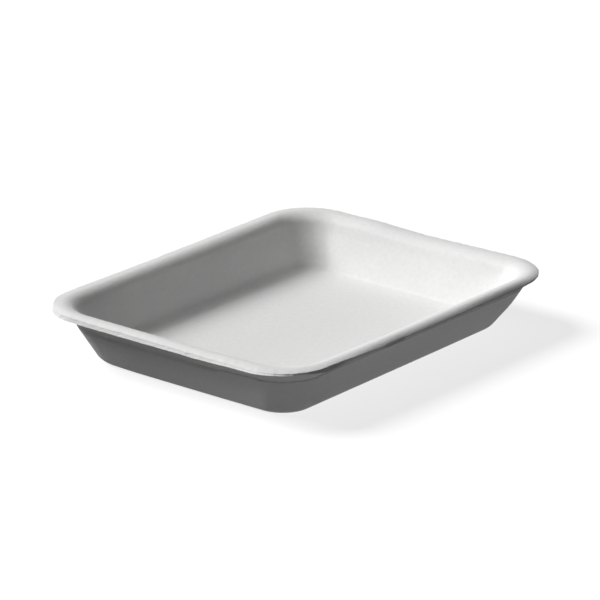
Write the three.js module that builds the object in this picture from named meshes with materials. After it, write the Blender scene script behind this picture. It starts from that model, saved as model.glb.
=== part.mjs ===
import * as THREE from 'three';

// Foam meat tray: one sheet of white polystyrene foam, formed into a shallow tray.
// Millimetres, +Z up. X runs along the tray, Y across it.
// The origin is the middle of the underside, in the plane that the tray stands on.

// Outer sizes
const length = 222;
const width = 169.5;
const height = 31;
const rimCornerRadius = 26;

// Base and walls
const baseInset = 20.7;
const baseCornerRadius = 15.5;
const baseEdgeRadius = 6.5;
const wallThickness = 4.3;
const floorThickness = 4.5;
const floorEdgeRadius = 2.5;

// Lip: the sheet rolls over the walls, dips outward from its crest and is trimmed upright
const lipReach = 6;
const lipThickness = 3.4;
const crestInset = 4;
const crownRadius = 9;
const innerRollRadius = 8.2;
const underLipRadius = 4.8;

// Crease that the forming leaves around the outside of the walls, under the lip
const creaseDrop = 7.6;
const creaseDepth = 0.45;
const creaseShoulder = 0.6;

// Steps of the faceted curves
const cornerSteps = 12;
const arcSteps = 6;

// The walls slope: the outer face runs from the base up to the underside of the lip
const underLipHeight = height - lipThickness;
const wallAngle = Math.atan2(underLipHeight, baseInset - lipReach);
const wallRun = 1 / Math.tan(wallAngle);
const innerWallShift = wallThickness / Math.sin(wallAngle);
const outerWallInset = (z) => baseInset - z * wallRun;
const innerWallInset = (z) => outerWallInset(z) + innerWallShift;

// A round between a level line and the wall leaves each of them at this share of its radius
const tangentShare = Math.tan(wallAngle / 2);

const degrees = THREE.MathUtils.degToRad;
const quarterTurn = degrees(90);

// Points of an arc in the section, where x is the inset from the rim and y the height
function arc(centreInset, centreHeight, radiusAcross, radiusUp, from, to) {
  const clockwise = to < from;
  const curve = new THREE.EllipseCurve(
    centreInset, centreHeight, radiusAcross, radiusUp, from, to, clockwise,
  );
  return curve.getPoints(arcSteps);
}

function baseEdge() {
  const centreInset = baseInset + baseEdgeRadius * tangentShare;
  return arc(
    centreInset, baseEdgeRadius, baseEdgeRadius, baseEdgeRadius,
    -quarterTurn, -quarterTurn - wallAngle,
  );
}

// A shallow groove: the wall above it leans in, and steps back out below it
function crease() {
  const creaseHeight = underLipHeight - creaseDrop;
  const shoulderHeight = creaseHeight - creaseShoulder;
  return [
    new THREE.Vector2(outerWallInset(shoulderHeight), shoulderHeight),
    new THREE.Vector2(outerWallInset(creaseHeight) + creaseDepth, creaseHeight),
  ];
}

function underLip() {
  const radius = Math.min(underLipRadius, lipReach / tangentShare);
  const centreInset = lipReach - radius * tangentShare;
  return arc(
    centreInset, underLipHeight - radius, radius, radius,
    quarterTurn - wallAngle, quarterTurn,
  );
}

// The trimmed face stands on the lip's underside, and the crown rises from it to the crest
function trimmedEdge() {
  const dip = Math.asin(crestInset / crownRadius);
  return [
    new THREE.Vector2(0, underLipHeight),
    ...arc(
      crestInset, height - crownRadius, crownRadius, crownRadius,
      quarterTurn + dip, quarterTurn,
    ),
  ];
}

function innerRoll() {
  const room = innerWallInset(height) - crestInset;
  const radius = Math.min(innerRollRadius, room / tangentShare);
  const centreInset = innerWallInset(height) - radius * tangentShare;
  return arc(
    centreInset, height - radius, radius, radius,
    quarterTurn, quarterTurn - wallAngle,
  );
}

function floorEdge() {
  const centreInset = innerWallInset(floorThickness) + floorEdgeRadius * tangentShare;
  return arc(
    centreInset, floorThickness + floorEdgeRadius, floorEdgeRadius, floorEdgeRadius,
    -quarterTurn - wallAngle, -quarterTurn,
  );
}

// Section of the foam, from the flat underside out over the lip and down to the floor
const section = [
  ...baseEdge(),
  ...crease(),
  ...underLip(),
  ...trimmedEdge(),
  ...innerRoll(),
  ...floorEdge(),
];

// Corners are rounder in plan than an even offset would leave them, down to the base
function cornerRadius(inset) {
  return rimCornerRadius - (rimCornerRadius - baseCornerRadius) * inset / baseInset;
}

// Rounded rectangle at one inset, anticlockwise from above
function ring(inset) {
  const radius = cornerRadius(inset);
  const x = length / 2 - inset - radius;
  const y = width / 2 - inset - radius;
  const corners = [[x, y], [-x, y], [-x, -y], [x, -y]];
  return corners.flatMap(([centreX, centreY], corner) => {
    const start = corner * quarterTurn;
    const curve = new THREE.EllipseCurve(
      centreX, centreY, radius, radius, start, start + quarterTurn,
    );
    return curve.getPoints(cornerSteps);
  });
}

// The section carried around the tray, with the underside and the floor as flat caps
function trayGeometry() {
  const positions = [];
  const indices = [];
  for (const { x: inset, y: z } of section) {
    for (const point of ring(inset)) {
      positions.push(point.x, point.y, z);
    }
  }
  const around = 4 * (cornerSteps + 1);
  for (let row = 0; row < section.length - 1; row++) {
    for (let column = 0; column < around; column++) {
      const next = (column + 1) % around;
      const a = row * around + column;
      const b = row * around + next;
      const c = a + around;
      const d = b + around;
      indices.push(a, b, d, a, d, c);
    }
  }
  const lastRow = (section.length - 1) * around;
  const underside = positions.length / 3;
  positions.push(0, 0, 0, 0, 0, floorThickness);
  for (let column = 0; column < around; column++) {
    const next = (column + 1) % around;
    indices.push(underside, next, column);
    indices.push(underside + 1, lastRow + column, lastRow + next);
  }
  const geometry = new THREE.BufferGeometry();
  geometry.setAttribute('position', new THREE.Float32BufferAttribute(positions, 3));
  geometry.setIndex(indices);
  geometry.computeVertexNormals();
  return geometry;
}

const foam = new THREE.MeshStandardMaterial({ color: 0xf1f1ef, roughness: 0.75, metalness: 0 });

const tray = new THREE.Mesh(trayGeometry(), foam);
tray.name = 'tray';

const group = new THREE.Group();
group.add(tray);

export default group;
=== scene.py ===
import math

import bpy
import numpy as np
from mathutils import Matrix, Vector, noise


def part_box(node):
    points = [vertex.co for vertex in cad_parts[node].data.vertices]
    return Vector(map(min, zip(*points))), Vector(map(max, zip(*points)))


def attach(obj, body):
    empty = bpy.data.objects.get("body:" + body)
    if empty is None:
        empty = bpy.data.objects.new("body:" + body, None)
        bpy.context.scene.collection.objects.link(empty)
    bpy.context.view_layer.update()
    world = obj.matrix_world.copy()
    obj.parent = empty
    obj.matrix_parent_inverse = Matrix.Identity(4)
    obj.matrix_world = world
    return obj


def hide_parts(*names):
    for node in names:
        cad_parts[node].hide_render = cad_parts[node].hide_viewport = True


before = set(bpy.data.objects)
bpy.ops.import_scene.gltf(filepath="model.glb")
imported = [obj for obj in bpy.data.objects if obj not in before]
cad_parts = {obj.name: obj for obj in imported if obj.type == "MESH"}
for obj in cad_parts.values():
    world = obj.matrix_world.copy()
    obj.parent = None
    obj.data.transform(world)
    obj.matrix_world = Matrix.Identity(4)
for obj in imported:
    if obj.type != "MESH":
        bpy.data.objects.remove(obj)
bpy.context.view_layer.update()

MM = 0.001
QUARTER = math.pi / 2

# Sizes of the tray, in millimetres, as in the part. The outer sizes come from the part's box.
tray_low, tray_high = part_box("tray")
LENGTH = (tray_high[0] - tray_low[0]) / MM
WIDTH = (tray_high[1] - tray_low[1]) / MM
HEIGHT = (tray_high[2] - tray_low[2]) / MM
RIM_CORNER_RADIUS = 26
BASE_INSET = 20.7
BASE_CORNER_RADIUS = 15.5
BASE_EDGE_RADIUS = 6.5
WALL_THICKNESS = 4.3
FLOOR_THICKNESS = 4.5
FLOOR_EDGE_RADIUS = 2.5
LIP_REACH = 6
LIP_THICKNESS = 3.4
CREST_INSET = 4
CROWN_RADIUS = 9
INNER_ROLL_RADIUS = 8.2
UNDER_LIP_RADIUS = 4.8
CREASE_DROP = 7.6
CREASE_SHOULDER = 0.6

UNDER_LIP_HEIGHT = HEIGHT - LIP_THICKNESS
WALL_ANGLE = math.atan2(UNDER_LIP_HEIGHT, BASE_INSET - LIP_REACH)
WALL_RUN = 1 / math.tan(WALL_ANGLE)
TANGENT_SHARE = math.tan(WALL_ANGLE / 2)
INNER_WALL_SHIFT = WALL_THICKNESS / math.sin(WALL_ANGLE)

# How finely the surface is divided
SIDE_STEP = 0.72
CORNER_STEPS = 56
CAP_RINGS = 5
BASE_STEPS = 9
LOW_WALL_STEPS = 7
HIGH_WALL_STEPS = 3
UNDER_LIP_STEPS = 6
UNDER_EDGE_STEPS = 3
CUT_STEPS = 4
CROWN_STEPS = 10
ROLL_STEPS = 12
INNER_WALL_STEPS = 10
FLOOR_EDGE_STEPS = 8
SHARP_ANGLE = math.radians(50)

# Forming and trimming leave the tray uneven. Each station is a place around the rim, in
# millimetres anticlockwise from the start of the back corner, and what the foam does there:
# dip: how far the lip sinks
# edge: how far the crown stops short of the rim
# droop: how much lower the crown ends
# lift: how much higher the lip's underside is
# fold: 0 where the cut face stands open, 1 where it is folded under
# bulge: how far the wall swells out
# widen: how far in the crest moves
# rise: how much higher the crease runs
# foot: how much larger the round is between wall and floor
# round: how much larger the round is at the base
STATION_NAMES = (
    "place", "dip", "edge", "droop", "lift", "fold", "bulge", "widen", "rise", "foot", "round",
)
STATIONS = (
    (0, 0.60, 0.4, -0.7, 0.0, 0.50, 0.6, 0.0, 0.0, 0.0, 0.0),
    (18, 0.50, 0.4, -0.7, 0.0, 0.50, 0.6, 0.0, 0.0, 5.0, 0.0),
    (45, 0.10, 0.3, -0.7, 0.0, 0.50, 0.4, 0.0, 0.0, 8.0, 0.0),
    (95, 0.30, 0.3, -0.7, 0.0, 0.50, 0.2, 0.0, 0.0, 8.0, 0.0),
    (150, 0.50, 0.3, -0.7, 0.0, 0.50, 0.2, 0.0, 0.0, 8.0, 0.0),
    (200, 0.20, 0.4, -0.7, 0.0, 0.30, 0.2, 0.0, 0.0, 8.0, 0.0),
    (226, 0.00, 0.5, -0.5, 0.0, 0.20, 0.1, 0.0, 0.0, 8.0, 1.6),
    (246, 0.00, 0.7, 0.8, 0.0, 0.00, 0.0, 0.0, 0.0, 5.0, 1.9),
    (266, 0.04, 0.7, 0.8, 0.0, 0.00, 0.0, 0.1, 0.0, 5.0, -0.6),
    (300, 0.10, 0.8, 0.8, 0.0, 0.00, 0.0, 0.2, 0.0, 5.0, -0.8),
    (335, 0.10, 0.8, 0.8, 0.2, 0.00, 0.1, 0.8, 0.6, 5.0, -0.8),
    (366, 0.00, 0.8, 0.7, 0.9, 0.00, 0.2, 1.7, 2.0, 5.0, -0.3),
    (382, 0.00, 1.2, 0.4, 1.6, 0.35, 0.4, 2.1, 2.8, 0.0, 0.0),
    (398, 0.00, 1.8, 0.3, 1.6, 0.40, 0.5, 2.1, 3.1, 0.0, 0.0),
    (410, 0.00, 1.8, 0.3, 0.5, 0.20, 0.4, 1.7, 3.3, 0.0, 0.0),
    (422, 0.00, 1.4, 0.3, 0.9, 0.20, 0.4, 1.0, 3.5, 0.0, 0.0),
    (428, 0.00, 1.0, 0.3, 0.6, 0.60, 0.3, 0.8, 3.4, 0.0, 0.0),
    (454, 0.00, 0.2, 0.6, 0.6, 0.60, 0.3, 0.2, 3.1, 0.0, 0.0),
    (456, 0.00, 0.4, 0.6, 0.3, 0.20, 0.3, 0.2, 3.1, 0.0, 0.0),
    (471, 0.00, 0.5, 0.6, 0.2, 0.20, 0.4, 0.0, 3.0, 0.0, 0.0),
    (475, 0.00, 0.1, 0.6, 0.5, 1.00, 0.4, 0.0, 3.0, 0.0, 0.0),
    (518, 0.00, 0.0, 0.6, 0.4, 1.00, 0.8, 0.0, 3.0, 0.0, 0.0),
    (536, 0.00, 0.0, 0.9, 0.3, 1.00, 1.0, 0.0, 3.0, 0.0, 0.1),
    (566, 0.00, 0.1, 1.1, 0.2, 1.00, 1.6, 0.0, 3.0, 0.0, 0.6),
    (600, 0.00, 0.3, 0.0, 0.3, 1.00, 2.0, 0.0, 2.5, 0.0, 1.0),
    (625, 0.00, 0.4, -0.5, 0.0, 0.60, 1.2, 0.0, 1.0, 0.0, 0.3),
    (650, 0.70, 0.4, -0.7, 0.0, 0.50, 0.6, 0.0, 0.0, 0.0, 0.0),
    (676, 1.30, 0.4, -0.7, 0.0, 0.50, 0.6, 0.0, 0.0, 0.0, 0.0),
    (696, 0.90, 0.4, -0.7, 0.0, 0.50, 0.6, 0.0, 0.0, 0.0, 0.0),
    (712, 0.20, 0.4, -0.7, 0.0, 0.50, 0.6, 0.0, 0.0, 0.0, 0.0),
    (726, 0.50, 0.4, -0.7, 0.0, 0.50, 0.6, 0.0, 0.0, 0.0, 0.0),
)

# How far along the rim the stations for dip, foot and round are averaged, to either side
STATION_REACH = 12

# The cut face: its lower edge leans out where it is open, and in where it is folded. A narrow
# groove parts it from the crown, and a fold makes that groove deeper and wider.
OPEN_LEAN = 1.0
FOLD_LEAN = 1.0
GROOVE_DROP = 0.1
GROOVE_FOLD_DROP = 0.15
FOLD_GROOVE = 0.9
CUT_GAP = 0.2
FOLD_GAP = 0.6
FOLD_SETBACK = 0.1

# Fine unevenness around the rim: size and wavelength in millimetres, noise layer, octaves
ROUGHNESS = {
    "crease height": (0.3, 40, 1, 2),
    "crease depth": (0.2, 30, 2, 2),
    "ragged edge": (0.15, 9, 3, 3),
    "edge teeth": (0.2, 1.4, 4, 1),
    "ragged underside": (0.15, 14, 5, 3),
    "underside teeth": (0.1, 1.6, 6, 1),
    "dip": (0.1, 22, 7, 3),
    "bulge": (0.25, 30, 8, 2),
    "crown wrinkles": (0.14, 3, 9, 3),
}

# How much lower the crown's wrinkled edge lies, on average
CROWN_FALL = 0.12

# The crease: its depth, which grows with its rise up to a limit, and the share of it that is
# left a short way up the wall
CREASE_DEPTH = 0.4
CREASE_RISE_DEPTH = 0.2
CREASE_RISE_LIMIT = 2
CREASE_TOP = 1.6
CREASE_FADE = 0.4

# Heights between which the foam takes up each movement
SWELL_START = (1, 16)
SWELL_END = (22, UNDER_LIP_HEIGHT)
CREST_MOVE = (12, HEIGHT - 3)
DIP_MOVE = (14, HEIGHT - 2)

# Foam: fine closed cells in the skin, coarser open ones where it was cut, and a faint mottle
FOAM_ROUGHNESS = 0.6
FOAM_SPECULAR = 0.25
SKIN_CELL_SCALE = 1900.0
CUT_CELL_SCALE = 1400.0
SKIN_CELL_BUMP = 0.12
CUT_CELL_BUMP = 0.35
CELL_BUMP_DISTANCE = 0.0003
MOTTLE_SCALE = 420.0
MOTTLE_BUMP = 0.38
MOTTLE_BUMP_DISTANCE = 0.0004
MOTTLE_DARK = (0.89, 0.89, 0.885, 1)
MOTTLE_LIGHT = (0.94, 0.94, 0.935, 1)
MOTTLE_RANGE = (0.3, 0.7)

# Camera, found from the tray's outline in the 600 x 600 photograph
PHOTO_SIZE = 600
SENSOR = 36
CAMERA_AZIMUTH = math.radians(-52.28)
CAMERA_ELEVATION = math.radians(19.58)
CAMERA_ROLL = math.radians(0.95)
CAMERA_DISTANCE = 2.2427
CAMERA_FOCAL_PIXELS = 4364
CAMERA_ACROSS = 0.00097
CAMERA_UP = 0.0217

# Light: a wide sun behind the left corner, and a weak glow from the table, which is brighter
# on the near side. Camera, glossy and transmission rays see the table as plain white with the
# tray's shadow on it (TABLE_SEEN and TABLE_GLOW), and all others see only the weak glow.
KEY_DIRECTION = Vector((-0.64, 1.20, 1.25)).normalized()
KEY_STRENGTH = 3.28
KEY_ANGLE = math.radians(34)
WORLD_STRENGTH = 0.004
TABLE_SIZE = 12
TABLE_GAP = 0.0002
TABLE_DIM = 0.092
TABLE_BRIGHT = 0.178
BRIGHT_BELOW_Y = -0.12
DIM_ABOVE_Y = 0.02
TABLE_SEEN = 0.42
TABLE_GLOW = 0.78


class Rim:
    """Columns around the tray: where each starts on the rim, and its step in per millimetre."""

    def __init__(self):
        long_side = LENGTH - 2 * RIM_CORNER_RADIUS
        short_side = WIDTH - 2 * RIM_CORNER_RADIUS
        half_sides = np.array([long_side, short_side]) / 2
        sides = [long_side, short_side, long_side, short_side]
        signs = np.array([(1, 1), (-1, 1), (-1, -1), (1, -1)])
        shrink = (RIM_CORNER_RADIUS - BASE_CORNER_RADIUS) / BASE_INSET
        starts, inward, distances = [], [], []
        travelled = 0.0
        for k, side in enumerate(sides):
            turn = np.linspace(0, 1, CORNER_STEPS + 1)
            angles = (k + turn) * QUARTER
            outward = np.column_stack([np.cos(angles), np.sin(angles)])
            starts.append(signs[k] * half_sides + RIM_CORNER_RADIUS * outward)
            inward.append(-signs[k] * (1 - shrink) - shrink * outward)
            distances.append(travelled + turn * RIM_CORNER_RADIUS * QUARTER)
            travelled += RIM_CORNER_RADIUS * QUARTER
            share = np.linspace(0, 1, round(side / SIDE_STEP) + 1)[1:-1]
            sign = (1 - share[:, None]) * signs[k] + share[:, None] * signs[(k + 1) % 4]
            starts.append(sign * half_sides + RIM_CORNER_RADIUS * outward[-1])
            inward.append(-sign * (1 - shrink) - shrink * outward[-1])
            distances.append(travelled + share * side)
            travelled += side
        self.starts = np.concatenate(starts)
        self.inward = np.concatenate(inward)
        self.distance = np.concatenate(distances)
        self.length = travelled
        self.count = len(self.distance)

    def points(self, inset):
        return self.starts + inset[:, None] * self.inward

    def rough(self, name):
        """One kind of unevenness in every column, without a seam."""
        size, wavelength, layer, octaves = ROUGHNESS[name]
        radius = self.length / (2 * math.pi * wavelength)
        turn = self.distance / self.length * 2 * math.pi
        values = [
            noise.fractal((radius * math.cos(t), radius * math.sin(t), layer), 0.7, 2.0, octaves)
            for t in turn
        ]
        return size * np.array(values)

    def station(self, name):
        """One value of the stations in every column."""
        column = STATION_NAMES.index(name)
        places = [station[0] for station in STATIONS] + [self.length]
        values = [station[column] for station in STATIONS] + [STATIONS[0][column]]
        return np.interp(self.distance, places, values)

    def smooth_station(self, name):
        """One value of the stations, averaged over a reach to either side."""
        apart = np.abs(self.distance[:, None] - self.distance[None, :])
        apart = np.minimum(apart, self.length - apart)
        weight = np.maximum(1 - apart / STATION_REACH, 0)
        return weight @ self.station(name) / weight.sum(axis=1)

    def spot(self, inset, height):
        """One point of the section in every column."""
        level = np.zeros(self.count)
        return np.stack([level + inset, level + height], axis=-1)

    def arc(self, inset, height, radius, start, end, steps):
        """An arc of the section in every column, both ends included."""
        share = np.linspace(0, 1, steps + 1)[:, None]
        angle = (1 - share) * (np.zeros(self.count) + start) + share * end
        return np.stack([inset + radius * np.cos(angle), height + radius * np.sin(angle)], axis=-1)


def line(start, end, steps):
    """A straight stretch of the section in every column, without its ends."""
    share = np.linspace(0, 1, steps + 1)[1:-1, None, None]
    return (1 - share) * start + share * end


def outer_wall(z):
    return BASE_INSET - z * WALL_RUN


def inner_wall(z):
    return outer_wall(z) + INNER_WALL_SHIFT


def base_rows(rim):
    radius = BASE_EDGE_RADIUS + rim.smooth_station("round")
    centre = BASE_INSET + radius * TANGENT_SHARE
    turn = (-QUARTER, -QUARTER - WALL_ANGLE)
    return rim.arc(centre, radius, radius, *turn, BASE_STEPS)


def crease_rows(rim):
    """A shallow groove around the outside of the wall, uneven in height and depth."""
    rise = rim.station("rise")
    height = UNDER_LIP_HEIGHT - CREASE_DROP + rise + rim.rough("crease height")
    depth = CREASE_DEPTH + CREASE_RISE_DEPTH * np.minimum(rise, CREASE_RISE_LIMIT)
    depth = depth + rim.rough("crease depth")
    shoulder = height - CREASE_SHOULDER
    top = height + CREASE_TOP
    return np.stack([
        rim.spot(outer_wall(shoulder), shoulder),
        rim.spot(outer_wall(height) + depth, height),
        rim.spot(outer_wall(top) + CREASE_FADE * depth, top),
    ])


def lip_rows(rim):
    """Underside of the lip, its cut face, and the crown up to the crest."""
    ragged = rim.rough("ragged edge") + rim.rough("edge teeth")
    edge = np.maximum(rim.station("edge") + ragged, 0)
    fold = rim.station("fold")
    lift = rim.station("lift") + rim.rough("ragged underside") + rim.rough("underside teeth")

    centre = LIP_REACH - UNDER_LIP_RADIUS * TANGENT_SHARE
    turn = (QUARTER - WALL_ANGLE, QUARTER)
    height = UNDER_LIP_HEIGHT - UNDER_LIP_RADIUS
    under = rim.arc(centre, height, UNDER_LIP_RADIUS, *turn, UNDER_LIP_STEPS)
    under[:, :, 1] += np.linspace(0, 1, len(under))[:, None] * lift

    fall = np.arcsin((CREST_INSET - edge) / CROWN_RADIUS)
    turn = (QUARTER + fall, QUARTER)
    crown = rim.arc(CREST_INSET, HEIGHT - CROWN_RADIUS, CROWN_RADIUS, *turn, CROWN_STEPS)
    outer_share = np.linspace(1, 0, len(crown))[:, None]
    crown[:, :, 1] -= outer_share ** 2 * rim.station("droop")
    crown[:, :, 1] -= outer_share * (CROWN_FALL + rim.rough("crown wrinkles"))

    low_inset = np.maximum(edge - OPEN_LEAN * (1 - fold) + FOLD_LEAN * fold, 0)
    cut_low = rim.spot(low_inset, UNDER_LIP_HEIGHT + lift)
    groove_step = [FOLD_GROOVE * fold, -GROOVE_DROP - GROOVE_FOLD_DROP * fold]
    groove = crown[0] + np.stack(groove_step, axis=-1)
    cut_top = crown[0, :, 1] - CUT_GAP - FOLD_GAP * fold
    cut_high = rim.spot(edge + FOLD_SETBACK * fold, cut_top)
    return [
        ("under", under),
        ("under", line(under[-1], cut_low, UNDER_EDGE_STEPS)),
        ("cut", np.stack([cut_low])),
        ("cut", line(cut_low, cut_high, CUT_STEPS)),
        ("cut", np.stack([cut_high, groove])),
        ("crown", crown),
    ]


def inner_rows(rim):
    """From the crest over the inner roll and down the wall to the floor."""
    centre = inner_wall(HEIGHT) - INNER_ROLL_RADIUS * TANGENT_SHARE
    turn = (QUARTER, QUARTER - WALL_ANGLE)
    roll = rim.arc(centre, HEIGHT - INNER_ROLL_RADIUS, INNER_ROLL_RADIUS, *turn, ROLL_STEPS)
    radius = FLOOR_EDGE_RADIUS + rim.smooth_station("foot")
    centre = inner_wall(FLOOR_THICKNESS) + radius * TANGENT_SHARE
    turn = (-QUARTER - WALL_ANGLE, -QUARTER)
    floor = rim.arc(centre, FLOOR_THICKNESS + radius, radius, *turn, FLOOR_EDGE_STEPS)
    wall = line(roll[-1], floor[0], INNER_WALL_STEPS)
    return [("roll", roll), ("inner", wall), ("floor", floor)]


def eased(value, low, high):
    """0 up to the low value, 1 from the high one, and smooth between them."""
    share = np.clip((value - low) / (high - low), 0, 1)
    return share * share * (3 - 2 * share)


def section(rim):
    """The foam's section in every column, from the underside over the lip to the floor."""
    base = base_rows(rim)
    crease = crease_rows(rim)
    lip = lip_rows(rim)
    stretches = [
        ("base", base),
        ("wall", line(base[-1], crease[0], LOW_WALL_STEPS)),
        ("crease", crease),
        ("wall", line(crease[-1], lip[0][1][0], HIGH_WALL_STEPS)),
        *lip,
        *inner_rows(rim),
    ]
    zones = [zone for zone, rows in stretches for _ in rows]
    rows = np.concatenate([rows for _, rows in stretches])
    height = rows[:, :, 1]
    dip = np.maximum(rim.smooth_station("dip") + rim.rough("dip"), 0)
    bulge = rim.station("bulge") + rim.rough("bulge")
    wall = eased(height, *SWELL_START) * (1 - eased(height, *SWELL_END))
    inside = np.array([zone in ("crown", "roll", "inner") for zone in zones])[:, None]
    crest = eased(height, *CREST_MOVE) * inside
    crown_share = np.cumsum(np.array(zones) == "crown") / zones.count("crown")
    rows[:, :, 0] -= wall * bulge
    rows[:, :, 0] += crest * crown_share[:, None] * rim.station("widen")
    rows[:, :, 1] -= eased(height, *DIP_MOVE) * dip
    return rows, zones


def build_tray():
    """The section in every column around the tray, closed by the floor and the underside."""
    rim = Rim()
    rows, zones = section(rim)
    section_count = len(rows)
    positions = [np.column_stack([rim.points(row[:, 0]), row[:, 1]]) for row in rows]
    for edge in (positions[-1], positions[0]):
        for k in range(1, CAP_RINGS):
            share = 1 - k / CAP_RINGS
            positions.append(edge * np.array([share, share, 1]))
    vertices = np.concatenate(positions + [[[0, 0, FLOOR_THICKNESS], [0, 0, 0]]])
    floor_middle = len(vertices) - 2
    base_middle = len(vertices) - 1

    column = np.arange(rim.count)
    following = (column + 1) % rim.count

    def band(first, second):
        """Faces between two rings, facing out where the second is further along the section."""
        a = first * rim.count
        b = second * rim.count
        return np.column_stack([a + column, a + following, b + following, b + column])

    floor_rings = [section_count - 1] + [section_count + k for k in range(CAP_RINGS - 1)]
    base_rings = [0] + [section_count + CAP_RINGS - 1 + k for k in range(CAP_RINGS - 1)]
    faces = [band(k, k + 1) for k in range(section_count - 1)]
    faces += [band(a, b) for a, b in zip(floor_rings, floor_rings[1:])]
    faces += [band(b, a) for a, b in zip(base_rings, base_rings[1:])]
    face_list = np.concatenate(faces).tolist()
    last_floor = floor_rings[-1] * rim.count
    last_base = base_rings[-1] * rim.count
    for c, f in zip(column.tolist(), following.tolist()):
        face_list.append((floor_middle, last_floor + c, last_floor + f))
        face_list.append((base_middle, last_base + f, last_base + c))

    mesh = bpy.data.meshes.new("tray_foam")
    mesh.from_pydata((vertices * MM).tolist(), [], face_list)
    mesh.validate()
    mesh.update()
    cut_faces = np.zeros(len(mesh.polygons), dtype=np.int32)
    for k in range(section_count - 1):
        if zones[k] == "cut":
            cut_faces[k * rim.count:(k + 1) * rim.count] = 1
    mesh.polygons.foreach_set("material_index", cut_faces)
    mesh.polygons.foreach_set("use_smooth", np.ones(len(mesh.polygons), dtype=bool))
    mesh.set_sharp_from_angle(angle=SHARP_ANGLE)
    tray = bpy.data.objects.new("tray_foam", mesh)
    bpy.context.scene.collection.objects.link(tray)
    return tray


def node(tree, kind, **inputs):
    made = tree.nodes.new(kind)
    for name, value in inputs.items():
        made.inputs[name.replace("_", " ")].default_value = value
    return made


def foam_material(name, cut):
    """White foam: fine closed cells in a smooth skin, or open cells where it was cut."""
    material = bpy.data.materials.new(name)
    material.use_nodes = True
    tree = material.node_tree
    shader = tree.nodes["Principled BSDF"]
    shader.inputs["Roughness"].default_value = FOAM_ROUGHNESS
    shader.inputs["Specular IOR Level"].default_value = FOAM_SPECULAR
    place = tree.nodes.new("ShaderNodeTexCoord")
    cell_scale = CUT_CELL_SCALE if cut else SKIN_CELL_SCALE
    cells = node(tree, "ShaderNodeTexVoronoi", Scale=cell_scale)
    tree.links.new(place.outputs["Object"], cells.inputs["Vector"])
    mottle = node(tree, "ShaderNodeTexNoise", Scale=MOTTLE_SCALE, Detail=4.0, Roughness=0.6)
    tree.links.new(place.outputs["Object"], mottle.inputs["Vector"])
    ramp = tree.nodes.new("ShaderNodeValToRGB")
    colors = (MOTTLE_DARK, MOTTLE_LIGHT)
    for element, position, color in zip(ramp.color_ramp.elements, MOTTLE_RANGE, colors):
        element.position = position
        element.color = color
    tree.links.new(mottle.outputs["Fac"], ramp.inputs["Fac"])
    tree.links.new(ramp.outputs["Color"], shader.inputs["Base Color"])
    cell_strength = CUT_CELL_BUMP if cut else SKIN_CELL_BUMP
    cell_bump = node(
        tree, "ShaderNodeBump", Strength=cell_strength, Distance=CELL_BUMP_DISTANCE,
    )
    tree.links.new(cells.outputs["Distance"], cell_bump.inputs["Height"])
    mottle_bump = node(
        tree, "ShaderNodeBump", Strength=MOTTLE_BUMP, Distance=MOTTLE_BUMP_DISTANCE,
    )
    tree.links.new(mottle.outputs["Fac"], mottle_bump.inputs["Height"])
    tree.links.new(cell_bump.outputs["Normal"], mottle_bump.inputs["Normal"])
    tree.links.new(mottle_bump.outputs["Normal"], shader.inputs["Normal"])
    return material


def add_camera():
    azimuth, elevation, roll = CAMERA_AZIMUTH, CAMERA_ELEVATION, CAMERA_ROLL
    back = Vector((
        math.sin(azimuth) * math.cos(elevation),
        -math.cos(azimuth) * math.cos(elevation),
        math.sin(elevation),
    ))
    level = Vector((math.cos(azimuth), math.sin(azimuth), 0))
    raised = back.cross(level)
    across = level * math.cos(roll) + raised * math.sin(roll)
    up = raised * math.cos(roll) - level * math.sin(roll)
    data = bpy.data.cameras.new("camera")
    data.sensor_width = SENSOR
    data.lens = SENSOR * CAMERA_FOCAL_PIXELS / PHOTO_SIZE
    data.clip_start = 0.05
    data.clip_end = 50
    camera = bpy.data.objects.new("camera", data)
    place = back * CAMERA_DISTANCE + across * CAMERA_ACROSS + up * CAMERA_UP
    turned = Matrix((across, up, back)).transposed().to_4x4()
    camera.matrix_world = Matrix.Translation(place) @ turned
    bpy.context.scene.collection.objects.link(camera)
    bpy.context.scene.camera = camera


def seen_directly(tree):
    """1 for camera, glossy and transmission rays, which see the plain white surroundings."""
    path = tree.nodes.new("ShaderNodeLightPath")
    first = tree.nodes.new("ShaderNodeMath")
    first.operation = "MAXIMUM"
    tree.links.new(path.outputs["Is Camera Ray"], first.inputs[0])
    tree.links.new(path.outputs["Is Glossy Ray"], first.inputs[1])
    second = tree.nodes.new("ShaderNodeMath")
    second.operation = "MAXIMUM"
    tree.links.new(first.outputs[0], second.inputs[0])
    tree.links.new(path.outputs["Is Transmission Ray"], second.inputs[1])
    return second.outputs[0]


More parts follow.
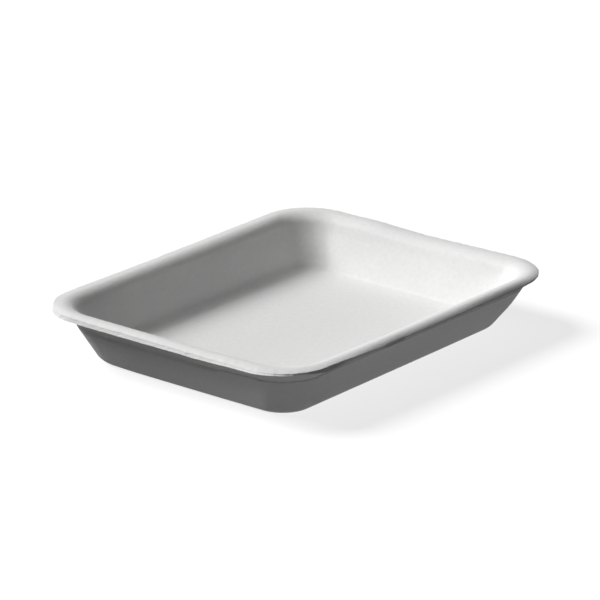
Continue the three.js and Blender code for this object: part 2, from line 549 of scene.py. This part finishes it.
def add_table():
    half = TABLE_SIZE / 2
    mesh = bpy.data.meshes.new("table")
    corners = [(-half, -half), (half, -half), (half, half), (-half, half)]
    mesh.from_pydata([(x, y, -TABLE_GAP) for x, y in corners], [], [(0, 1, 2, 3)])
    table = bpy.data.objects.new("table", mesh)
    bpy.context.scene.collection.objects.link(table)
    material = bpy.data.materials.new("table_white")
    material.use_nodes = True
    tree = material.node_tree
    tree.nodes.clear()
    place = tree.nodes.new("ShaderNodeNewGeometry")
    parts = tree.nodes.new("ShaderNodeSeparateXYZ")
    tree.links.new(place.outputs["Position"], parts.inputs[0])
    across = node(tree, "ShaderNodeMapRange", From_Min=BRIGHT_BELOW_Y, From_Max=DIM_ABOVE_Y)
    across.inputs["To Min"].default_value = TABLE_BRIGHT
    across.inputs["To Max"].default_value = TABLE_DIM
    tree.links.new(parts.outputs["Y"], across.inputs["Value"])
    bounce = tree.nodes.new("ShaderNodeEmission")
    tree.links.new(across.outputs[0], bounce.inputs["Strength"])
    seen = node(tree, "ShaderNodeBsdfDiffuse", Color=(TABLE_SEEN,) * 3 + (1,))
    glow = node(tree, "ShaderNodeEmission", Strength=TABLE_GLOW)
    both = tree.nodes.new("ShaderNodeAddShader")
    tree.links.new(seen.outputs[0], both.inputs[0])
    tree.links.new(glow.outputs[0], both.inputs[1])
    mix = tree.nodes.new("ShaderNodeMixShader")
    tree.links.new(seen_directly(tree), mix.inputs[0])
    tree.links.new(bounce.outputs[0], mix.inputs[1])
    tree.links.new(both.outputs[0], mix.inputs[2])
    output = tree.nodes.new("ShaderNodeOutputMaterial")
    tree.links.new(mix.outputs[0], output.inputs["Surface"])
    mesh.materials.append(material)


def add_light():
    data = bpy.data.lights.new("key", "SUN")
    data.energy = KEY_STRENGTH
    data.angle = KEY_ANGLE
    key = bpy.data.objects.new("key", data)
    key.rotation_euler = KEY_DIRECTION.to_track_quat("Z", "Y").to_euler()
    bpy.context.scene.collection.objects.link(key)
    world = bpy.data.worlds.new("studio")
    bpy.context.scene.world = world
    world.use_nodes = True
    tree = world.node_tree
    tree.nodes.clear()
    fill = node(tree, "ShaderNodeBackground", Color=(1, 1, 1, 1), Strength=WORLD_STRENGTH)
    white = node(tree, "ShaderNodeBackground", Color=(1, 1, 1, 1), Strength=1.0)
    mix = tree.nodes.new("ShaderNodeMixShader")
    tree.links.new(seen_directly(tree), mix.inputs[0])
    tree.links.new(fill.outputs[0], mix.inputs[1])
    tree.links.new(white.outputs[0], mix.inputs[2])
    output = tree.nodes.new("ShaderNodeOutputWorld")
    tree.links.new(mix.outputs[0], output.inputs["Surface"])


bpy.context.scene.view_settings.view_transform = "Standard"
add_camera()
add_table()
add_light()

tray = build_tray()
tray.data.materials.append(foam_material("foam_skin", cut=False))
tray.data.materials.append(foam_material("foam_cut", cut=True))
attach(tray, "root")
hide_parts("tray")
